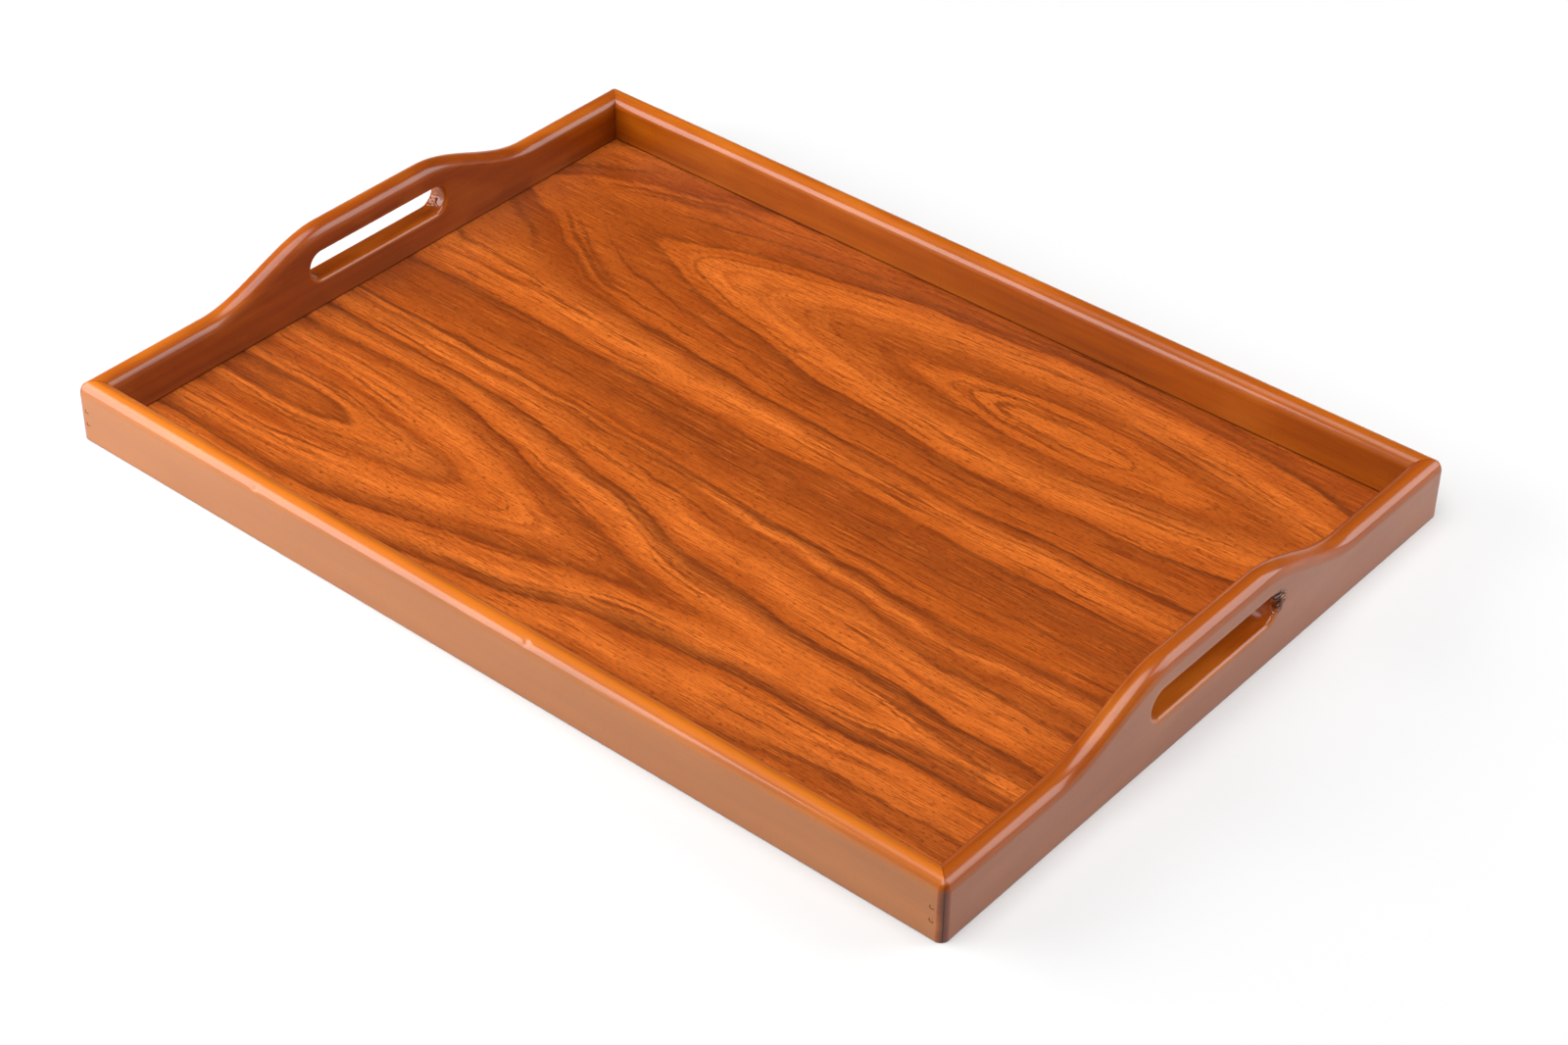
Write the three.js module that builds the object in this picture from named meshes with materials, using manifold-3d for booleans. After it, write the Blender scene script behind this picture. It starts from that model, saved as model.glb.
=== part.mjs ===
// A wooden serving tray: four mitred frame members round a wood-grain panel.
//
// The two long rails have a bullnosed top. The two end boards carry the same bullnose up over an
// ogee hump with a hand slot through it. The panel sits in a groove that runs round the inside of
// the frame. Two brads at each corner go through a rail's outer face, across the glued mitre and
// into the end board. Their heads are sunk, and the filler over them counts as the rail's wood.
//
// Millimetres. +X runs along the tray, +Y across it, +Z is up.
// The origin is the centre of the outline, at the surface that the tray stands on.

import * as THREE from "three";
import { mergeVertices } from "three/addons/utils/BufferGeometryUtils.js";
import Module from "manifold-3d";

// ---- driving dimensions ----------------------------------------------------------------------

const TRAY_LENGTH = 500; // over the end boards
const TRAY_WIDTH = 360; // over the rails
const MEMBER_THICKNESS = 12;
const RAIL_HEIGHT = 31;

const NOSE_RADIUS = 5.8; // round-over on both top edges, which leaves a hair of flat between them
const ARRIS = 0.8; // bevel that takes the sharpness off the bottom edges
const CORNER_RADIUS = 4; // upright outer edges at the mitres
const MITRE_GAP = 0.1; // glue line, on each side of the mitre

const HANDLE_HEIGHT = 50.5; // crest of the end board
const CREST_HALF_LENGTH = 33; // level part of the crest, from the middle
const OGEE_RUN = 74; // length over which the edge falls from the crest to rail height

const SLOT_LENGTH = 90;
const SLOT_HEIGHT = 14.5;
const SLOT_CENTRE_HEIGHT = 29.5;
const SLOT_ROUND = 2.2; // round-over on the rim of the slot, on both faces

const GROOVE_FLOOR = 2.8; // height of the groove's lower face
const GROOVE_HEIGHT = 4.6;
const GROOVE_DEPTH = 6;

const PANEL_THICKNESS = 4; // core, skins and glue together
const SKIN_THICKNESS = 0.4;
const SKIN_GLUE = 0.1; // glue line between the core and each skin
const PANEL_PLAY = 0.5; // between the panel's edge and the bottom of the groove, on each side

const BRAD_LENGTH = 22;
const BRAD_RADIUS = 0.6;
const BRAD_HEAD_RADIUS = 0.95;
const BRAD_HEAD_THICKNESS = 0.7;
const BRAD_POINT = 1.6; // length of the point
const BRAD_SINK = 1.6; // from the rail's outer face to the top of the head
const BRAD_GAP = 0.3; // clearance all round a brad in its hole
const BRAD_HEIGHTS = [10, 17]; // above the surface that the tray stands on

// ---- fineness of the facets ------------------------------------------------------------------

const NOSE_SEGMENTS = 7; // in each quarter round of a top edge
const RIM_SEGMENTS = 4; // in each quarter round of a slot's rim
const CURVE_SEGMENTS = 16; // in each arc or ogee of an outline
const BRAD_SIDES = 12;
const OVERSIZE = 10; // how far a cutting shape runs past what it cuts

// ---- materials -------------------------------------------------------------------------------

const lacqueredWood = new THREE.MeshStandardMaterial({ color: 0xb4652c, roughness: 0.3, metalness: 0 });
const grainLaminate = new THREE.MeshStandardMaterial({ color: 0xc65c1e, roughness: 0.35, metalness: 0 });
const plainBacking = new THREE.MeshStandardMaterial({ color: 0x9a5a30, roughness: 0.6, metalness: 0 });
const fibreboard = new THREE.MeshStandardMaterial({ color: 0x8f6c4a, roughness: 0.9, metalness: 0 });
const zincSteel = new THREE.MeshStandardMaterial({ color: 0xa9adb2, roughness: 0.4, metalness: 1 });

// ---- solids ----------------------------------------------------------------------------------

const wasm = await Module();
wasm.setup();

function toSolid(geometry) {
  const bare = geometry.index ? geometry.toNonIndexed() : geometry.clone();
  bare.deleteAttribute("normal");
  bare.deleteAttribute("uv");
  const merged = mergeVertices(bare, 1e-4);
  return new wasm.Manifold(
    new wasm.Mesh({
      numProp: 3,
      vertProperties: merged.attributes.position.array,
      triVerts: new Uint32Array(merged.index.array),
    }),
  );
}

function toGeometry(solid) {
  const mesh = solid.getMesh();
  const geometry = new THREE.BufferGeometry();
  geometry.setAttribute("position", new THREE.BufferAttribute(mesh.vertProperties, 3));
  geometry.setIndex(new THREE.BufferAttribute(mesh.triVerts, 1));
  geometry.computeVertexNormals();
  return geometry;
}

// Extrudes a flat shape. Its two axes and the extrusion take the three directions given.
function extrude(shape, depth, [across, up, along], options = {}) {
  const settings = { depth, bevelEnabled: false, curveSegments: CURVE_SEGMENTS, ...options };
  const geometry = new THREE.ExtrudeGeometry(shape, settings);
  return geometry.applyMatrix4(new THREE.Matrix4().makeBasis(across, up, along));
}

const X = new THREE.Vector3(1, 0, 0);
const Y = new THREE.Vector3(0, 1, 0);
const Z = new THREE.Vector3(0, 0, 1);

// ---- frame members ---------------------------------------------------------------------------
// Each member is made lying along X, centred on the origin, with its outer face towards -Y.

// Section across a member (y, z), with the panel's groove in the inner face.
function memberSection(height, noseRadius) {
  const half = MEMBER_THICKNESS / 2;
  const grooveTop = GROOVE_FLOOR + GROOVE_HEIGHT;
  const section = new THREE.Shape();
  section.moveTo(-half, ARRIS);
  section.lineTo(-half + ARRIS, 0);
  section.lineTo(half - ARRIS, 0);
  section.lineTo(half, ARRIS);
  section.lineTo(half, GROOVE_FLOOR);
  section.lineTo(half - GROOVE_DEPTH, GROOVE_FLOOR);
  section.lineTo(half - GROOVE_DEPTH, grooveTop);
  section.lineTo(half, grooveTop);
  if (noseRadius > 0) {
    const centreHeight = height - noseRadius;
    const fromMiddle = half - noseRadius;
    section.absarc(fromMiddle, centreHeight, noseRadius, 0, Math.PI / 2);
    section.absarc(-fromMiddle, centreHeight, noseRadius, Math.PI / 2, Math.PI);
  } else {
    section.lineTo(half, height);
    section.lineTo(-half, height);
  }
  section.closePath();
  return section;
}

// A bar of that section, as long as the member.
function bar(length, height, noseRadius) {
  const section = memberSection(height, noseRadius);
  const geometry = extrude(section, length, [Y, Z, X], { curveSegments: NOSE_SEGMENTS });
  return toSolid(geometry.translate(-length / 2, 0, 0));
}

// What both mitre cuts and the rounded upright corners leave of a member, seen from above.
function mitredPlan(length, height) {
  const end = length / 2;
  const outer = -MEMBER_THICKNESS / 2;
  const gap = MITRE_GAP * Math.SQRT2;
  const turn = CORNER_RADIUS * (1 - Math.SQRT1_2);
  const arcX = end - CORNER_RADIUS;
  const arcY = outer + CORNER_RADIUS;
  const plan = new THREE.Shape();
  plan.moveTo(-arcX, outer);
  plan.absarc(arcX, arcY, CORNER_RADIUS, -Math.PI / 2, -Math.PI / 4);
  plan.lineTo(end - turn - gap, outer + turn);
  plan.lineTo(end - MEMBER_THICKNESS - gap, -outer);
  plan.lineTo(-end + MEMBER_THICKNESS + gap, -outer);
  plan.lineTo(-end + turn + gap, outer + turn);
  plan.absarc(-arcX, arcY, CORNER_RADIUS, (-3 * Math.PI) / 4, -Math.PI / 2);
  return toSolid(extrude(plan, height + 2 * OVERSIZE, [X, Y, Z]).translate(0, 0, -OVERSIZE));
}

// A brad with its head at the origin, driven along +Y, larger all round by the margin.
function bradGeometry(margin = 0) {
  const profile = [
    new THREE.Vector2(0, -margin),
    new THREE.Vector2(BRAD_HEAD_RADIUS + margin, -margin),
    new THREE.Vector2(BRAD_HEAD_RADIUS + margin, BRAD_HEAD_THICKNESS + margin),
    new THREE.Vector2(BRAD_RADIUS + margin, BRAD_HEAD_THICKNESS + margin),
    new THREE.Vector2(BRAD_RADIUS + margin, BRAD_LENGTH - BRAD_POINT + margin),
    new THREE.Vector2(0, BRAD_LENGTH + margin),
  ];
  return toGeometry(toSolid(new THREE.LatheGeometry(profile, BRAD_SIDES)));
}

// Both brad holes at each end of a member. A rail takes its brads across, an end board along.
function bradHoles(length, drivenAlong) {
  const holes = [];
  for (const end of [-1, 1]) {
    for (const height of BRAD_HEIGHTS) {
      const hole = bradGeometry(BRAD_GAP);
      if (drivenAlong) {
        hole.rotateZ((end * Math.PI) / 2).translate(end * (length / 2 - BRAD_SINK), 0, height);
      } else {
        const fromMiddle = (length - MEMBER_THICKNESS) / 2;
        hole.translate(end * fromMiddle, -MEMBER_THICKNESS / 2 + BRAD_SINK, height);
      }
      holes.push(toSolid(hole));
    }
  }
  return wasm.Manifold.union(holes);
}

function railGeometry() {
  const blank = bar(TRAY_LENGTH, RAIL_HEIGHT, NOSE_RADIUS);
  const mitred = blank.intersect(mitredPlan(TRAY_LENGTH, RAIL_HEIGHT));
  return toGeometry(mitred.subtract(bradHoles(TRAY_LENGTH, false)));
}

// An S-curve that is level at both of its ends.
function ogeeTo(outline, from, to) {
  const third = (to.x - from.x) / 3;
  outline.bezierCurveTo(from.x + third, from.y, to.x - third, to.y, to.x, to.y);
}

// The end board's face (x, z): rail height at both ends, rising through an ogee to the crest.
function boardOutline() {
  const end = TRAY_WIDTH / 2 + OVERSIZE;
  const foot = new THREE.Vector2(CREST_HALF_LENGTH + OGEE_RUN, RAIL_HEIGHT);
  const crest = new THREE.Vector2(CREST_HALF_LENGTH, HANDLE_HEIGHT);
  const leftCrest = new THREE.Vector2(-crest.x, crest.y);
  const leftFoot = new THREE.Vector2(-foot.x, foot.y);
  const outline = new THREE.Shape();
  outline.moveTo(-end, -OVERSIZE);
  outline.lineTo(end, -OVERSIZE);
  outline.lineTo(end, RAIL_HEIGHT);
  outline.lineTo(foot.x, foot.y);
  ogeeTo(outline, foot, crest);
  outline.lineTo(leftCrest.x, leftCrest.y);
  ogeeTo(outline, leftCrest, leftFoot);
  outline.lineTo(-end, RAIL_HEIGHT);
  return outline;
}

function slotOutline() {
  const radius = SLOT_HEIGHT / 2;
  const straight = SLOT_LENGTH / 2 - radius;
  const slot = new THREE.Path();
  slot.absarc(straight, SLOT_CENTRE_HEIGHT, radius, -Math.PI / 2, Math.PI / 2);
  slot.absarc(-straight, SLOT_CENTRE_HEIGHT, radius, Math.PI / 2, (3 * Math.PI) / 2);
  slot.closePath();
  return slot;
}

// A plate as thick as a member, with every edge of the shape rounded over on both faces.
function roundedPlate(shape, round, segments) {
  const depth = MEMBER_THICKNESS - 2 * round;
  const geometry = extrude(shape, depth, [X, Z, Y.clone().negate()], {
    bevelEnabled: true,
    bevelThickness: round,
    bevelSize: round,
    bevelOffset: -round,
    bevelSegments: segments,
  });
  return toSolid(geometry.translate(0, depth / 2, 0));
}

function slottedPlate() {
  const reach = TRAY_WIDTH / 2 + 2 * OVERSIZE;
  const plate = new THREE.Shape();
  plate.moveTo(-reach, -2 * OVERSIZE);
  plate.lineTo(reach, -2 * OVERSIZE);
  plate.lineTo(reach, HANDLE_HEIGHT + 2 * OVERSIZE);
  plate.lineTo(-reach, HANDLE_HEIGHT + 2 * OVERSIZE);
  plate.holes.push(slotOutline());
  return roundedPlate(plate, SLOT_ROUND, RIM_SEGMENTS);
}

function endBoardGeometry() {
  const blank = roundedPlate(boardOutline(), NOSE_RADIUS, NOSE_SEGMENTS);
  const grooved = bar(TRAY_WIDTH + 2 * OVERSIZE, HANDLE_HEIGHT + OVERSIZE, 0);
  const mitred = grooved.intersect(mitredPlan(TRAY_WIDTH, HANDLE_HEIGHT));
  const board = blank.intersect(slottedPlate()).intersect(mitred);
  return toGeometry(board.subtract(bradHoles(TRAY_WIDTH, true)));
}

// ---- panel -----------------------------------------------------------------------------------

const panelLength = TRAY_LENGTH - 2 * (MEMBER_THICKNESS - GROOVE_DEPTH + PANEL_PLAY);
const panelWidth = TRAY_WIDTH - 2 * (MEMBER_THICKNESS - GROOVE_DEPTH + PANEL_PLAY);

function sheet(name, material, bottom, thickness) {
  const mesh = new THREE.Mesh(new THREE.BoxGeometry(panelLength, panelWidth, thickness), material);
  mesh.name = name;
  mesh.position.z = bottom + thickness / 2;
  return mesh;
}

// ---- the tray --------------------------------------------------------------------------------

const tray = new THREE.Group();

const rail = railGeometry();
const endBoard = endBoardGeometry();
const railOffset = (TRAY_WIDTH - MEMBER_THICKNESS) / 2;
const boardOffset = (TRAY_LENGTH - MEMBER_THICKNESS) / 2;
const members = [
  { name: "front_rail", geometry: rail, x: 0, y: -railOffset, quarterTurns: 0 },
  { name: "right_end_board", geometry: endBoard, x: boardOffset, y: 0, quarterTurns: 1 },
  { name: "back_rail", geometry: rail, x: 0, y: railOffset, quarterTurns: 2 },
  { name: "left_end_board", geometry: endBoard, x: -boardOffset, y: 0, quarterTurns: 3 },
];
for (const { name, geometry, x, y, quarterTurns } of members) {
  const mesh = new THREE.Mesh(geometry, lacqueredWood);
  mesh.name = name;
  mesh.position.set(x, y, 0);
  mesh.rotation.z = (quarterTurns * Math.PI) / 2;
  tray.add(mesh);
}

const coreThickness = PANEL_THICKNESS - 2 * (SKIN_THICKNESS + SKIN_GLUE);
const panelBottom = GROOVE_FLOOR + (GROOVE_HEIGHT - PANEL_THICKNESS) / 2;
const coreBottom = panelBottom + SKIN_THICKNESS + SKIN_GLUE;
const faceBottom = coreBottom + coreThickness + SKIN_GLUE;
tray.add(sheet("panel_backing", plainBacking, panelBottom, SKIN_THICKNESS));
tray.add(sheet("panel_core", fibreboard, coreBottom, coreThickness));
tray.add(sheet("panel_face", grainLaminate, faceBottom, SKIN_THICKNESS));

const brad = bradGeometry();
const corners = [
  { corner: "front_right", x: 1, y: -1 },
  { corner: "back_right", x: 1, y: 1 },
  { corner: "back_left", x: -1, y: 1 },
  { corner: "front_left", x: -1, y: -1 },
];
for (const { corner, x, y } of corners) {
  const pair = new THREE.Group();
  pair.position.set(x * boardOffset, y * (TRAY_WIDTH / 2 - BRAD_SINK), 0);
  pair.rotation.z = y > 0 ? Math.PI : 0;
  for (const [index, height] of BRAD_HEIGHTS.entries()) {
    const mesh = new THREE.Mesh(brad, zincSteel);
    mesh.name = `brad_${corner}_${index === 0 ? "lower" : "upper"}`;
    mesh.position.z = height;
    pair.add(mesh);
  }
  tray.add(pair);
}

export default tray;
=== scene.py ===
"""The looks of a wooden serving tray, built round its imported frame.

Metres, +Z up, in the frame's own place. The frame's four members and the panel's face are made
again here with fine surfaces, and filler is added over the brads. The panel's core and backing
and the brads keep their solids and take a material.
"""

import math
from collections import namedtuple

import bmesh
import bpy
import numpy as np
from mathutils import Matrix, Vector
from mathutils.geometry import delaunay_2d_cdt
from mathutils.noise import noise


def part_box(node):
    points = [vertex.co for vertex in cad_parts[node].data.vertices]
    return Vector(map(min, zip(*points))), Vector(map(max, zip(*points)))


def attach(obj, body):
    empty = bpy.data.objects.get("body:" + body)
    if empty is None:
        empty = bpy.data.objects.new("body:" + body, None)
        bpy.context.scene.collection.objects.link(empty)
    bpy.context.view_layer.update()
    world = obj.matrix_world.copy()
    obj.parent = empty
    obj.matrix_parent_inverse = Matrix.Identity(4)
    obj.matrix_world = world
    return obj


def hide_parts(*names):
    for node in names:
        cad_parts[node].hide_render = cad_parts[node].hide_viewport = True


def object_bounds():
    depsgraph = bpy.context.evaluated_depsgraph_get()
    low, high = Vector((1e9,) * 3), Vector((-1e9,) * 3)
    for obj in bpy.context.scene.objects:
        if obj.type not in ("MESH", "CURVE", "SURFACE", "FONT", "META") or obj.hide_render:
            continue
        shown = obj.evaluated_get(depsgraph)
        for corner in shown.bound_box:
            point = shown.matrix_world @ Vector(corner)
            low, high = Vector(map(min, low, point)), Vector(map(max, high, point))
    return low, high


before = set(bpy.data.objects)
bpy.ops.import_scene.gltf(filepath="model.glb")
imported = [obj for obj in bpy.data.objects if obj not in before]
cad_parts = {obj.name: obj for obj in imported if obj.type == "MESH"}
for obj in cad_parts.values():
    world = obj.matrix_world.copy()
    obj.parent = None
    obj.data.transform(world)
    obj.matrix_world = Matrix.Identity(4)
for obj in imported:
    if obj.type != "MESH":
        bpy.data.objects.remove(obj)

MM = 0.001
cad_low, cad_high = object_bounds()

# ---- sizes, read from the frame ---------------------------------------------------------------

RAIL_LOW, RAIL_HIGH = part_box("front_rail")
PANEL_LOW, PANEL_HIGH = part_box("panel_face")
HALF_LENGTH = cad_high.x
HALF_WIDTH = cad_high.y
THICKNESS = RAIL_HIGH.y - RAIL_LOW.y
RAIL_TOP = RAIL_HIGH.z
CREST_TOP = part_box("right_end_board")[1].z

# ---- sizes of the edges, which follow the frame's own -----------------------------------------

NOSE_RADIUS = THICKNESS / 2
ARRIS = 0.8 * MM  # the round along the foot
CORNER_RADIUS = 4 * MM
MITRE_GAP = 0.1 * MM  # half a glue line
GROOVE_BOTTOM = 2.8 * MM
GROOVE_TOP = 7.6 * MM
GROOVE_DEPTH = 6 * MM
CREST_HALF = 33 * MM  # half length of an end board's level top
OGEE_RUN = 74 * MM
SLOT_HALF_LENGTH = 45 * MM
SLOT_RADIUS = 7.25 * MM
SLOT_HEIGHT = 29.5 * MM
SLOT_ROUND = 2.2 * MM
BRAD_HOLE_RADIUS = 1.2 * MM
BRAD_HOLE_DEPTH = 1.6 * MM

# ---- camera -----------------------------------------------------------------------------------

CAMERA_AZIMUTH = math.radians(39.69)
CAMERA_ELEVATION = math.radians(37.52)
CAMERA_ROLL = math.radians(0.90)
CAMERA_PLACE = Vector((0.7644, -0.8981, 0.8788))
CAMERA_LENS = 74.5


def place_camera():
    """A camera above the front right corner, looking down the tray's diagonal."""
    azimuth, elevation, roll = CAMERA_AZIMUTH, CAMERA_ELEVATION, CAMERA_ROLL
    back = Vector((
        math.sin(azimuth) * math.cos(elevation),
        -math.cos(azimuth) * math.cos(elevation),
        math.sin(elevation),
    ))
    level = Vector((0, 0, 1)).cross(back).normalized()
    upright = back.cross(level)
    right = level * math.cos(roll) + upright * math.sin(roll)
    up = upright * math.cos(roll) - level * math.sin(roll)
    data = bpy.data.cameras.new("camera")
    data.lens = CAMERA_LENS
    data.sensor_width = 36
    data.clip_start = 0.05
    camera = bpy.data.objects.new("camera", data)
    turn = Matrix((right, up, back)).transposed().to_4x4()
    camera.matrix_world = Matrix.Translation(CAMERA_PLACE) @ turn
    bpy.context.scene.collection.objects.link(camera)
    bpy.context.scene.camera = camera


# ---- node and colour helpers ------------------------------------------------------------------


def linear(hex_colour, alpha=1.0):
    """An sRGB hex colour such as "#C86428" as linear RGBA."""
    channels = [int(hex_colour[i:i + 2], 16) / 255 for i in (1, 3, 5)]
    return (*[c / 12.92 if c <= 0.04045 else ((c + 0.055) / 1.055) ** 2.4 for c in channels], alpha)


def add(tree, kind, inputs=None, stops=None, **settings):
    """Adds a node, gives it its settings, links or fills its inputs, and sets a ramp's stops."""
    node = tree.nodes.new(kind)
    for name, value in settings.items():
        setattr(node, name, value)
    for key, value in (inputs or {}).items():
        socket = node.inputs[key]
        if isinstance(value, bpy.types.NodeSocket):
            tree.links.new(value, socket)
        else:
            socket.default_value = value
    if stops:
        elements = node.color_ramp.elements
        elements.remove(elements[-1])
        elements[0].position = stops[0][0]
        elements[0].color = linear(stops[0][1])
        for place, colour in stops[1:]:
            elements.new(place).color = linear(colour)
    return node


def new_material(name, colour):
    """An empty node material, its shader and its node tree."""
    material = bpy.data.materials.new(name)
    material.use_nodes = True
    material.diffuse_color = linear(colour)
    tree = material.node_tree
    tree.nodes.clear()
    shader = add(tree, "ShaderNodeBsdfPrincipled")
    add(tree, "ShaderNodeOutputMaterial", {"Surface": shader.outputs[0]})
    return material, shader, tree


# ---- materials --------------------------------------------------------------------------------

# Rubbed wear with a painted highlight, a painted tan sheen on the outer faces, painted shade along feet
# and joints, and torn grain.
WEAR_AND_PAINTED_LIGHT = ("rubbed_and_highlight", "painted_sheen", "painted_shade", "torn")  # attributes from 0 to 1 on the frame's members


def place_in_mm(tree):
    """The place on the tray, in millimetres."""
    place = add(tree, "ShaderNodeTexCoord").outputs["Object"]
    return add(tree, "ShaderNodeMapping", {"Vector": place, "Scale": (1000, 1000, 1000)}).outputs[0]


def streaks(tree, place, size_mm, detail=2.0, roughness=0.5, offset=0.0):
    """Noise from 0 to 1 whose marks have the given size in millimetres along each axis."""
    cell = add(tree, "ShaderNodeMapping", {
        "Vector": place,
        "Location": (offset, offset, offset),
        "Scale": tuple(1 / size for size in size_mm),
    })
    return add(tree, "ShaderNodeTexNoise", {
        "Vector": cell.outputs[0], "Scale": 1.0, "Detail": detail, "Roughness": roughness,
    }).outputs[0]


def laid_over(tree, under, over, pattern, low, high, most):
    """A colour laid over another where a pattern is strong: none at low, the most at high."""
    cover = add(tree, "ShaderNodeMapRange", {
        "Value": pattern, "From Min": low, "From Max": high, "To Min": 0.0, "To Max": most,
    })
    return add(tree, "ShaderNodeMix", {0: cover.outputs[0], 6: under, 7: linear(over)},
               data_type="RGBA").outputs[2]


# The stain from its darkest streaks to its palest, and the tan of the painted sheen on the outer faces.
RAIL_STAIN = ("#843C04", "#974704", "#A05006", "#AA590C", "#9C6232")
BOARD_STAIN = ("#6E2C02", "#803502", "#893C03", "#924405", "#864510")


def lacquered_beech(name, along, offset, stain):
    """Beech, stained amber brown and sprayed with gloss lacquer.

    The stain evens the wood out, with faint darker streaks and the short ray flecks of beech. It
    is rubbed thin over the rounded edges, which show golden, with a painted highlight there too and
    round the slot rims. The outer faces carry a painted tan sheen, and painted shade darkens the
    feet, the groove and a line at the panel; the stain also grows darker towards the upright
    corners. Torn grain is dark with pale splinters. The lacquer is thick and slightly uneven, so
    its highlights are broad and mottled.
    """
    *tones, sheen_tone = stain
    material, shader, tree = new_material(name, tones[1])
    place = place_in_mm(tree)

    def marks(length, breadth):
        return (length, breadth, breadth) if along == "X" else (breadth, length, breadth)

    grain = streaks(tree, place, marks(150, 6), 3, 0.6, offset)
    fibres = streaks(tree, place, marks(24, 0.8), 2, 0.6, offset + 3)
    flecks = streaks(tree, place, marks(3.2, 0.5), 1, 0.5, offset + 7)
    clouds = streaks(tree, place, marks(70, 26), 2, 0.5, offset + 11)
    runs = streaks(tree, place, (0.9, 0.9, 16), 2, 0.6, offset + 13)
    rubbed_and_highlight, painted_sheen, painted_shade, torn = (add(tree, "ShaderNodeAttribute", attribute_name=surface_mark).outputs["Fac"]
                                   for surface_mark in WEAR_AND_PAINTED_LIGHT)
    splinters = add(tree, "ShaderNodeMath", {0: flecks, 1: torn}, operation="MULTIPLY").outputs[0]

    stops = list(zip((0.28, 0.45, 0.6, 0.75), tones))
    colour = add(tree, "ShaderNodeValToRGB", {"Fac": grain}, stops=stops).outputs[0]
    colour = laid_over(tree, colour, "#702E05", fibres, 0.5, 0.75, 0.3)
    colour = laid_over(tree, colour, "#582508", flecks, 0.62, 0.75, 0.3)
    colour = laid_over(tree, colour, "#763305", clouds, 0.45, 0.7, 0.4)
    colour = laid_over(tree, colour, "#B4641C", clouds, 0.46, 0.28, 0.45)
    # Painted tan sheen on the outer faces.
    colour = laid_over(tree, colour, sheen_tone, painted_sheen, 0.0, 1.0, 0.75)
    colour = laid_over(tree, colour, "#632D06", runs, 0.62, 0.8, 0.3)
    # Painted shade along the feet, in the groove and in a line where a member meets the panel, and darker
    # towards the upright corners.
    colour = laid_over(tree, colour, "#3A1604", painted_shade, 0.0, 1.0, 0.8)
    # Golden rubbed edges, partly real wear and partly a painted highlight beside the bullnose's shine.
    colour = laid_over(tree, colour, "#B4621C", rubbed_and_highlight, 0.0, 1.0, 0.75)
    colour = laid_over(tree, colour, "#481C06", torn, 0.1, 0.5, 0.9)
    colour = laid_over(tree, colour, "#C08C64", splinters, 0.42, 0.6, 0.8)
    tree.links.new(colour, shader.inputs["Base Color"])

    orange_peel = streaks(tree, place, (2.6, 2.6, 2.6), 3, 0.6, offset + 17)
    raised = streaks(tree, place, marks(9, 0.9), 2, 0.5, offset + 23)
    height = add(tree, "ShaderNodeMath", {0: raised, 1: 0.6, 2: orange_peel}, operation="MULTIPLY_ADD")
    bump = add(tree, "ShaderNodeBump", {
        "Height": height.outputs[0], "Strength": 0.6, "Distance": 0.1 * MM,
    })
    tree.links.new(bump.outputs[0], shader.inputs["Normal"])
    gloss = add(tree, "ShaderNodeMapRange", {
        "Value": clouds, "From Min": 0.3, "From Max": 0.7, "To Min": 0.3, "To Max": 0.42,
    })
    tree.links.new(gloss.outputs[0], shader.inputs["Roughness"])
    shader.inputs["IOR"].default_value = 1.5
    shader.inputs["Specular IOR Level"].default_value = 0.12
    shader.inputs["Coat Weight"].default_value = 0.7
    shader.inputs["Coat Roughness"].default_value = 0.16
    shader.inputs["Coat IOR"].default_value = 1.5
    return material


# Tones across the printed figure, by how far through the growth rings they lie, in millimetres.
# Each dark line comes on slowly and ends sharply, as late wood does.
BRIGHT, WARM, BROWN, DARK = "#BF6220", "#9E4A11", "#7B3609", "#491A01"
GROWTH_TONES = [
    (-104, WARM), (-99, DARK), (-98, BRIGHT), (-87, BROWN), (-85, WARM), (-76, BRIGHT), (-63, BROWN),
    (-60, DARK), (-59, WARM), (-53, BRIGHT), (-46, DARK), (-45, WARM), (-39, BRIGHT), (-32, BROWN),
    (-30, BRIGHT), (-27, DARK), (-25, WARM), (-12, BROWN), (2, BROWN), (4, DARK), (5, WARM),
    (18, BRIGHT), (27, BROWN), (29, DARK), (30, WARM), (46, BROWN), (49, DARK), (50, WARM),
    (60, BRIGHT), (78, BROWN), (81, WARM), (94, BRIGHT),
]


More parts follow.
